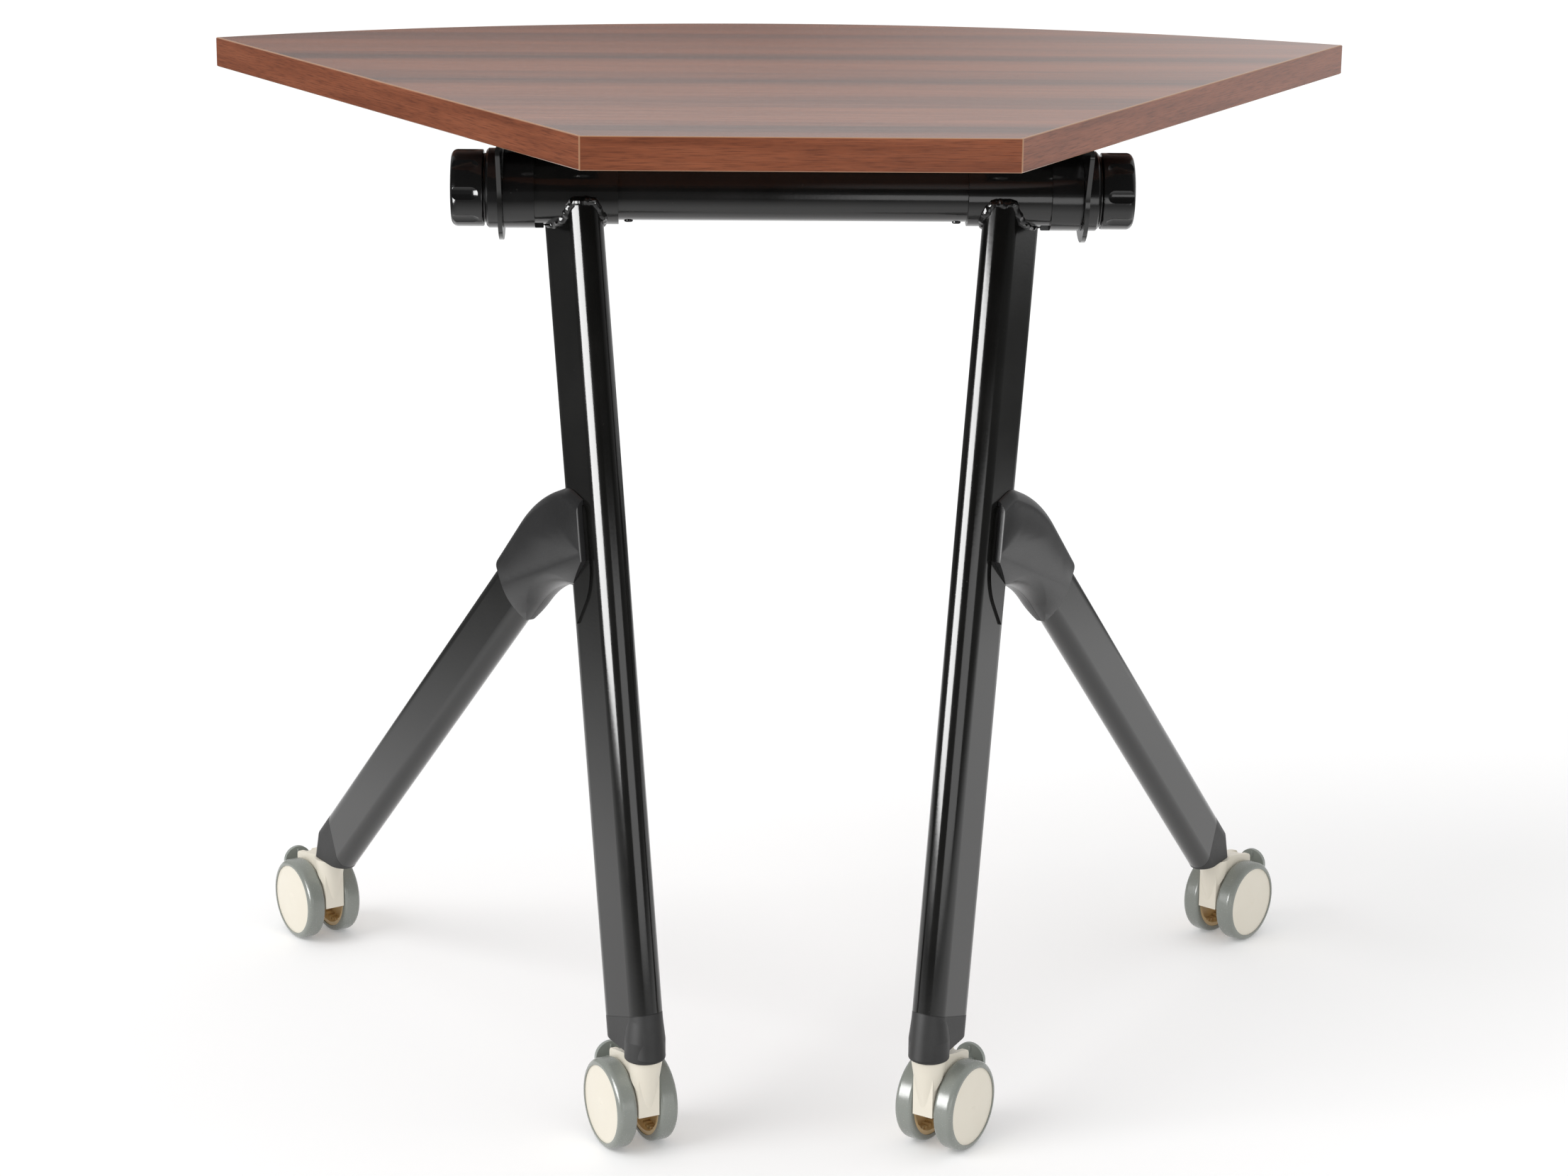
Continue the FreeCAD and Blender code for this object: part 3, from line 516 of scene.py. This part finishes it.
# Knob washers: thin black plastic washers on the knobs' necks, between each knob and its collar.
# Stamped from sheet and a little smaller than the knob, so that a dark groove shows there.
washer_start = 0.2080
washer_end = 0.2095
washer_radius = 0.0235
washer_hole_radius = 0.0162
washer_edge = 0.0003
washer_sides = 96
punch_length = 0.01
for hand, side in hands:
    bpy.ops.object.select_all(action="DESELECT")
    middle = (hand * (washer_start + washer_end) / 2, beam_y, beam_z)
    across = (0.0, math.pi / 2, 0.0)
    bpy.ops.mesh.primitive_cylinder_add(vertices=washer_sides, radius=washer_radius,
                                        depth=washer_end - washer_start,
                                        location=middle, rotation=across)
    washer = bpy.context.object
    washer.name = "knob_washer_" + side
    bpy.ops.object.transform_apply(location=True, rotation=True, scale=True)
    bpy.ops.mesh.primitive_cylinder_add(vertices=washer_sides, radius=washer_hole_radius,
                                        depth=punch_length, location=middle, rotation=across)
    cut_away(washer, bpy.context.object)
    edges = washer.modifiers.new("edges", "BEVEL")
    edges.width = washer_edge
    edges.segments = 2
    edges.limit_method = "ANGLE"
    bpy.ops.object.modifier_apply(modifier="edges")
    settle(washer, black_gloss_plastic)
    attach(washer, "knob_" + side)

# Rear legs and joint brackets: flat-oval tubes set on the backs of the main legs at half height,
# and pressed steel plates on the flat sides of the joint, all in the same enamel.
dress(black_enamel, *["rear_leg_" + side for side in sides])
dress(black_enamel, *["joint_brackets_" + side for side in sides])


# Joint covers: two moulded halves that clip together over the joint of each leg frame.
# Satin charcoal plastic with a fine spark-eroded texture; a highlight is painted on its front edge.
def moulded_finish(name, dark, light, roughness, grain, grain_depth, specular=0.5):
    material = new_finish(name)
    shader = shader_of(material, {"Specular IOR Level": specular})
    place = surface_place(material)
    cloud = noise(material, place, (25.0, 25.0, 25.0), detail=4.0)
    texture = noise(material, place, (grain, grain, grain), detail=2.0)
    colour = ramp(material, cloud, [(0.3, dark), (0.7, light)])
    join(material, colour, shader.inputs["Base Color"])
    gloss = in_range(material, texture, 0.3, 0.7, to_low=roughness - 0.05, to_high=roughness + 0.05)
    join(material, gloss, shader.inputs["Roughness"])
    bump(material, shader, texture, grain_depth, strength=0.5)
    return material


def folded_distance(material, normal, offset):
    parts = split(material, surface_place(material))
    folded = add(material, "ShaderNodeCombineXYZ")
    join(material, work_out(material, "ABSOLUTE", parts["X"]), folded.inputs["X"])
    join(material, parts["Y"], folded.inputs["Y"])
    join(material, parts["Z"], folded.inputs["Z"])
    return work_out(material, "SUBTRACT", dot(material, folded.outputs["Vector"], normal), offset)


def tint_over(material, mask, tint):
    shader = material.node_tree.nodes["Principled BSDF"]
    base = shader.inputs["Base Color"].links[0].from_socket
    join(material, blend_colours(material, "MIX", mask, base, tint), shader.inputs["Base Color"])


leg_run = Vector((math.sin(leg_turn), math.cos(leg_turn), 0.0))
leg_side = Vector((math.cos(leg_turn), -math.sin(leg_turn), 0.0))
leg_foot = Vector((leg_spread, beam_y, 0.0))
cover_half_width = 0.0185
cover_front_lap = 0.006
cover_axis = leg_foot + Vector((0.0, 0.0, beam_z))
cover_depth_line = leg_run * math.cos(leg_lean) - Vector((0.0, 0.0, math.sin(leg_lean)))
edge_highlight_start = 0.0009
front_highlight_full = 0.0003
side_highlight_full = 0.0004
edge_highlight_strength = 0.6
edge_highlight_colour = (0.30, 0.30, 0.30)
satin_black_plastic = moulded_finish("satin_black_plastic", (0.015, 0.015, 0.0155),
                                     (0.022, 0.022, 0.0225), roughness=0.32, grain=1800.0,
                                     grain_depth=0.00003, specular=0.35)
cover_reach = folded_distance(satin_black_plastic, cover_depth_line,
                              cover_depth_line.dot(cover_axis) - cover_front_lap)
cover_width = work_out(satin_black_plastic, "ABSOLUTE",
                       folded_distance(satin_black_plastic, leg_side, leg_side.dot(cover_axis)))
# Painted highlight: a lighter grey mixed in on the crisp front edges of the covers.
front_highlight = in_range(satin_black_plastic, cover_reach, edge_highlight_start, front_highlight_full)
side_highlight = in_range(satin_black_plastic, cover_width,
                     cover_half_width - edge_highlight_start, cover_half_width - side_highlight_full)
edge_highlight = work_out(satin_black_plastic, "MULTIPLY", front_highlight, side_highlight)
edge_highlight = work_out(satin_black_plastic, "MULTIPLY", edge_highlight, edge_highlight_strength)
tint_over(satin_black_plastic, edge_highlight, edge_highlight_colour)
for half in ("outer", "inner"):
    dress(satin_black_plastic, *["joint_cover_" + half + "_" + side for side in sides])

# Crowned covers: the outer half of each joint cover, with the low crown of its broad face.
# Moulded in the same satin plastic and clipped to the inner half; the face rises by a little
# over two millimetres from its edges and rolls over softly towards them.
crown_height = 0.0026
crown_run = 0.024
crown_grid = 0.004
crown_rounds = 14
crown_weld = 0.000005
rim_share = 0.02
facing_cosine = 0.99
same_plane_cosine = 0.9999
same_plane_gap = 0.00005
leg_up = leg_run * math.sin(leg_lean) + Vector((0.0, 0.0, math.cos(leg_lean)))


def nearest_on(point, ends):
    start, end = ends
    line = end - start
    share = max(0.0, min(1.0, (point - start).dot(line) / line.length_squared))
    return (point - start - line * share).length


def faces_in_plane(mesh, normal, level):
    return [face for face in mesh.polygons
            if face.normal.dot(normal) > same_plane_cosine
            and abs(normal.dot(face.center) - level) < same_plane_gap]


for hand, side in hands:
    mirror = Vector((hand, 1.0, 1.0))
    outwards = leg_side * mirror
    node = nodes["joint_cover_outer_" + side]
    mesh = node.data.copy()
    mesh.transform(node.matrix_world)
    cheek = bpy.data.objects.new("crowned_cover_" + side, mesh)
    bpy.context.scene.collection.objects.link(cheek)
    pick(cheek)
    bpy.ops.mesh.customdata_custom_splitnormals_clear()
    bpy.ops.object.mode_set(mode="EDIT")
    bpy.ops.mesh.select_mode(type="FACE")
    bpy.ops.mesh.select_all(action="SELECT")
    bpy.ops.mesh.remove_doubles(threshold=crown_weld)
    bpy.ops.object.mode_set(mode="OBJECT")

    facing = [face for face in mesh.polygons if face.normal.dot(outwards) > facing_cosine]
    broadest = max(facing, key=lambda face: face.area)
    swell = broadest.normal.copy()
    level = swell.dot(broadest.center)
    uses = {}
    for face in faces_in_plane(mesh, swell, level):
        for key in face.edge_keys:
            uses[key] = uses.get(key, 0) + 1
    rim = [[mesh.vertices[index].co.copy() for index in key]
           for key, count in uses.items() if count == 1]

    for across in (cover_depth_line * mirror, leg_up * mirror):
        reach = [across.dot(point) for ends in rim for point in ends]
        for step in range(1, math.ceil((max(reach) - min(reach)) / crown_grid)):
            unpick_mesh("FACE")
            for face in faces_in_plane(mesh, swell, level):
                face.select = True
            bpy.ops.object.mode_set(mode="EDIT")
            bpy.ops.mesh.bisect(plane_co=across * (min(reach) + step * crown_grid),
                                plane_no=across)
            bpy.ops.object.mode_set(mode="OBJECT")

    shares = {}
    for face in faces_in_plane(mesh, swell, level):
        for index in face.vertices:
            from_rim = min(nearest_on(mesh.vertices[index].co, ends) for ends in rim)
            shares[index] = min(1.0, from_rim / crown_run)
    unpick_mesh("VERT")
    for index, share in shares.items():
        mesh.vertices[index].co += swell * crown_height * share * (2.0 - share)
        mesh.vertices[index].select = share > rim_share
    bpy.ops.object.mode_set(mode="EDIT")
    bpy.ops.mesh.vertices_smooth(factor=0.5, repeat=crown_rounds)
    bpy.ops.mesh.select_all(action="SELECT")
    bpy.ops.mesh.remove_doubles(threshold=crown_weld)
    bpy.ops.mesh.normals_make_consistent(inside=False)
    bpy.ops.object.mode_set(mode="OBJECT")
    settle(cheek, satin_black_plastic)
    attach(cheek, "frame")
    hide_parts("joint_cover_outer_" + side)

# Foot caps: moulded plugs in the ends of the leg tubes, dark grey and nearly matt.
# A thin dark joint runs round each cap where it closes against the tube's slanting end.
cap_dark = (0.020, 0.020, 0.020)
cap_light = (0.034, 0.034, 0.034)
cap_seam_colour = (0.006, 0.006, 0.006)
cap_seam_width = 0.0007
main_seam_forward = 0.0815
main_seam_height = 0.1015
main_seam_tilt = leg_lean + math.radians(9.0)
main_seam_place = leg_foot - leg_run * main_seam_forward + Vector((0.0, 0.0, main_seam_height))
main_seam_line = (leg_run * math.sin(main_seam_tilt)
                  + Vector((0.0, 0.0, math.cos(main_seam_tilt))))
rear_seam_back = 0.3595
rear_seam_height = 0.0725
rear_seam_tilt = math.radians(26.0)
rear_seam_place = leg_foot + leg_run * rear_seam_back + Vector((0.0, 0.0, rear_seam_height))
rear_seam_line = (leg_run * math.cos(rear_seam_tilt)
                  - Vector((0.0, 0.0, math.sin(rear_seam_tilt))))
for leg, seam_line, seam_place in (("main", main_seam_line, main_seam_place),
                                   ("rear", rear_seam_line, rear_seam_place)):
    grey_cap_plastic = moulded_finish("grey_cap_plastic_" + leg, cap_dark, cap_light,
                                      roughness=0.46, grain=1500.0, grain_depth=0.00005,
                                      specular=0.3)
    seam = work_out(grey_cap_plastic, "ABSOLUTE",
                    folded_distance(grey_cap_plastic, seam_line, seam_line.dot(seam_place)))
    seam = in_range(grey_cap_plastic, seam, cap_seam_width, cap_seam_width / 2)
    tint_over(grey_cap_plastic, seam, cap_seam_colour)
    dress(grey_cap_plastic, *[leg + "_foot_cap_" + side for side in sides])

# Caster housings: ivory mouldings that swivel on a plated steel stem under each foot cap.
# The axle and the pedal's pin are plated steel rod pressed through them.
caster_stems = {  # the stem's x and y, the hand, and the degrees turned from straight back
    "front_left": (-0.0998, -0.2165, -1.0, 26.0),
    "front_right": (0.0998, -0.2165, 1.0, 35.0),
    "rear_left": (-0.3600, 0.2031, -1.0, 33.0),
    "rear_right": (0.3600, 0.2031, 1.0, 42.0),
}
ivory_recipe = {
    "dark": (0.83, 0.775, 0.655),
    "light": (0.86, 0.81, 0.695),
    "roughness": 0.36,
    "grain": 1200.0,
    "grain_depth": 0.00003,
}
ivory_plastic = moulded_finish("ivory_plastic", **ivory_recipe)
for corner in caster_stems:
    dress(ivory_plastic, corner + "_caster_housing")
    dress(bright_steel, corner + "_caster_pins")

# Brake pedals: grey moulded levers whose round-topped tabs stand behind the wheels.
# A short moulded rib near the top of each tab gives the shoe a grip.
grey_pedal_plastic = moulded_finish("grey_pedal_plastic", (0.285, 0.312, 0.288),
                                    (0.325, 0.352, 0.326), roughness=0.36, grain=1300.0,
                                    grain_depth=0.00003)
tab_face_reach = 0.057
tab_top = 0.064
rib_width = 0.0016
rib_height = 0.0050
rib_depth = 0.0012
rib_rounding = 0.0005
rib_below_top = 0.0020
rib_place = Vector((tab_face_reach - rib_depth / 4, 0.0,
                    tab_top - rib_below_top - rib_height / 2))
bpy.ops.object.select_all(action="DESELECT")
bpy.ops.mesh.primitive_cube_add(size=1.0, location=(0.0, 0.0, 0.0))
pedal_rib = bpy.context.object
pedal_rib.name = "pedal_rib_pattern"
pedal_rib.scale = (rib_depth, rib_width, rib_height)
bpy.ops.object.transform_apply(location=True, rotation=True, scale=True)
rounding = pedal_rib.modifiers.new("rounding", "BEVEL")
rounding.width = rib_rounding
rounding.segments = 3
bpy.ops.object.modifier_apply(modifier="rounding")
for corner, (stem_x, stem_y, hand, heading) in caster_stems.items():
    dress(grey_pedal_plastic, corner + "_brake_pedal")
    stem = Matrix.Translation((stem_x, stem_y, 0.0))
    trail_turn = Matrix.Rotation(math.radians(90.0 - hand * heading), 4, "Z")
    seat = stem @ trail_turn @ Matrix.Translation(rib_place)
    place_copy(pedal_rib, "pedal_rib_" + corner, seat,
               grey_pedal_plastic, "pedal_" + corner)
bpy.data.objects.remove(pedal_rib)

# Wheels: ivory discs on the outside and grey rubber tyres; two run on each axle, one on each side
# of the housing. Inside the open hubs, near the housing, a tan tint is painted as shade.
hub_shade_width = 0.0205
hub_shade_blend = 0.0005
hub_shade_colour = (0.82, 0.60, 0.31)
grey_tyre = moulded_finish("grey_tyre", (0.245, 0.262, 0.238), (0.275, 0.292, 0.266),
                           roughness=0.24, grain=900.0, grain_depth=0.00003)
for corner, (stem_x, stem_y, hand, heading) in caster_stems.items():
    hub_plastic = moulded_finish("ivory_hub_plastic_" + corner, **ivory_recipe)
    turn = math.radians(heading)
    axle = Vector((math.cos(turn), -hand * math.sin(turn), 0.0))
    # Painted shade: a tan tint on the hub faces within this reach of the housing's middle.
    along_axle = dot(hub_plastic, surface_place(hub_plastic), axle)
    from_middle = work_out(hub_plastic, "SUBTRACT", along_axle,
                           axle.dot(Vector((stem_x, stem_y, 0.0))))
    from_middle = work_out(hub_plastic, "ABSOLUTE", from_middle)
    inside = in_range(hub_plastic, from_middle, hub_shade_width + hub_shade_blend,
                      hub_shade_width - hub_shade_blend)
    tint_over(hub_plastic, inside, hub_shade_colour)
    dress(hub_plastic, corner + "_hub_outer", corner + "_hub_inner")
    dress(grey_tyre, corner + "_tyre_outer", corner + "_tyre_inner")

# Floor: a plain white studio floor that keeps the desk's soft shadow.
# In reflections it is bright near the desk and to the rear, and dark towards the room.
floor_size = 40.0
glow_x = 0.25
glow_y = 0.40
glow_edge = 1.75
glow_core = 0.95
rear_slant = 0.45
rear_start = 2.8
rear_full = 4.2
lift_seen = 0.22
lift_mirrored = 0.35
bpy.ops.object.select_all(action="DESELECT")
bpy.ops.mesh.primitive_plane_add(size=floor_size)
floor = bpy.context.object
floor.name = "studio_floor"
floor_paint = new_finish("studio_floor_paint")
floor_tree = floor_paint.node_tree
floor_tree.nodes.remove(floor_tree.nodes["Principled BSDF"])
floor_matt = add(floor_paint, "ShaderNodeBsdfDiffuse", {"Color": (0.80, 0.80, 0.80, 1.0)})
floor_dark = add(floor_paint, "ShaderNodeBsdfDiffuse", {"Color": (0.12, 0.12, 0.12, 1.0)})
floor_rays = add(floor_paint, "ShaderNodeLightPath").outputs
floor_parts = split(floor_paint, surface_place(floor_paint))
floor_x = work_out(floor_paint, "SUBTRACT", floor_parts["X"], glow_x)
floor_y = work_out(floor_paint, "SUBTRACT", floor_parts["Y"], glow_y)
floor_reach = work_out(floor_paint, "ADD",
                       work_out(floor_paint, "MULTIPLY", floor_x, floor_x),
                       work_out(floor_paint, "MULTIPLY", floor_y, floor_y))
floor_reach = work_out(floor_paint, "SQRT", floor_reach)
floor_near = in_range(floor_paint, floor_reach, glow_edge, glow_core)
floor_rear = work_out(floor_paint, "ADD", floor_parts["Y"],
                      work_out(floor_paint, "MULTIPLY", floor_parts["X"], rear_slant))
floor_lit = work_out(floor_paint, "MAXIMUM", floor_near,
                     in_range(floor_paint, floor_rear, rear_start, rear_full))
floor_seen = work_out(floor_paint, "MAXIMUM", floor_rays["Is Camera Ray"],
                      floor_rays["Is Transmission Ray"])
floor_seen = work_out(floor_paint, "MULTIPLY", floor_seen, lift_seen)
floor_mirrored = work_out(floor_paint, "MULTIPLY", floor_rays["Is Glossy Ray"], floor_near)
floor_mirrored = work_out(floor_paint, "MULTIPLY", floor_mirrored, lift_mirrored)
floor_glow = add(floor_paint, "ShaderNodeEmission")
join(floor_paint, work_out(floor_paint, "ADD", floor_seen, floor_mirrored),
     floor_glow.inputs["Strength"])
floor_sum = add(floor_paint, "ShaderNodeAddShader")
join(floor_paint, floor_matt.outputs["BSDF"], floor_sum.inputs[0])
join(floor_paint, floor_glow.outputs["Emission"], floor_sum.inputs[1])
floor_unlit = work_out(floor_paint, "MULTIPLY", floor_rays["Is Glossy Ray"],
                       work_out(floor_paint, "SUBTRACT", 1.0, floor_lit))
floor_mix = add(floor_paint, "ShaderNodeMixShader")
join(floor_paint, floor_unlit, floor_mix.inputs["Fac"])
join(floor_paint, floor_sum.outputs["Shader"], floor_mix.inputs[1])
join(floor_paint, floor_dark.outputs["BSDF"], floor_mix.inputs[2])
join(floor_paint, floor_mix.outputs["Shader"],
     floor_tree.nodes["Material Output"].inputs["Surface"])
floor.data.materials.append(floor_paint)

# Studio light: a white surround, brightest behind the desk, and a soft key from the upper left.
# A broad softbox at the front left and a low reflector at the front right show in the gloss;
# both stay below the level of the top.
surround_spread = 0.85
mirrored_dark = 0.02
mirrored_bright = 0.66
world = bpy.data.worlds.new("studio_surround")
bpy.context.scene.world = world
world.use_nodes = True
surround = world.node_tree.nodes["Background"]
surround.inputs["Color"].default_value = (1.0, 1.0, 1.0, 1.0)
rays = add(world, "ShaderNodeLightPath").outputs
direction = split(world, add(world, "ShaderNodeTexCoord").outputs["Generated"])
behind = work_out(world, "ADD", direction["Y"],
                  work_out(world, "MULTIPLY", direction["X"], rear_slant))
above = in_range(world, direction["Z"], low=0.112, high=0.140)
rightwards = in_range(world, direction["X"], low=0.02, high=0.18)
mirrored = work_out(world, "MULTIPLY", work_out(world, "MAXIMUM", above, rightwards),
                    in_range(world, behind, low=-0.1, high=0.7))
mirrored = in_range(world, mirrored, 0.0, 1.0, mirrored_dark, mirrored_bright)
mirrored = work_out(world, "MULTIPLY", mirrored, rays["Is Glossy Ray"])
seen = work_out(world, "MAXIMUM", rays["Is Camera Ray"], rays["Is Transmission Ray"])
spread = work_out(world, "MULTIPLY", rays["Is Diffuse Ray"], surround_spread)
strength = work_out(world, "MAXIMUM", work_out(world, "MAXIMUM", seen, mirrored), spread)
join(world, strength, surround.inputs["Strength"])

key_light = bpy.data.lights.new("key_sun", "SUN")
key_light.energy = 1.1
key_light.angle = math.radians(35.0)
key_lamp = bpy.data.objects.new("key_sun", key_light)
key_lamp.rotation_euler = (math.radians(48.0), 0.0, math.radians(-60.0))
key_lamp.visible_glossy = False
bpy.context.scene.collection.objects.link(key_lamp)


def gloss_lamp(name, width, height, power, place, target):
    light = bpy.data.lights.new(name, "AREA")
    light.shape = "RECTANGLE"
    light.size = width
    light.size_y = height
    light.energy = power
    lamp = bpy.data.objects.new(name, light)
    lamp.location = place
    lamp.rotation_euler = (Vector(target) - Vector(place)).to_track_quat("-Z", "Y").to_euler()
    lamp.visible_diffuse = False
    lamp.visible_camera = False
    bpy.context.scene.collection.objects.link(lamp)


gloss_lamp("broad_softbox", width=0.74, height=0.56, power=26.5,
           place=(-0.905, -0.69, 0.43), target=(-0.15, -0.13, 0.43))
gloss_lamp("low_reflector", width=1.0, height=0.42, power=2.9,
           place=(0.545, -1.27, 0.22), target=(0.10, -0.13, 0.30))

# Camera: in front of the desk and a little above it, turned slightly to the right and down.
# It stands at the photograph's angle, about two and a half metres off, with a long lens.
camera_data = bpy.data.cameras.new("photo_camera")
camera_data.sensor_width = 36.0
camera_data.lens = 83.38
camera = bpy.data.objects.new("photo_camera", camera_data)
camera.location = (-0.07299, -2.58898, 1.06920)
camera.rotation_euler = (math.radians(74.590), math.radians(-0.574), math.radians(-1.471))
bpy.context.scene.collection.objects.link(camera)
bpy.context.scene.camera = camera
bpy.context.scene.view_settings.view_transform = "Standard"
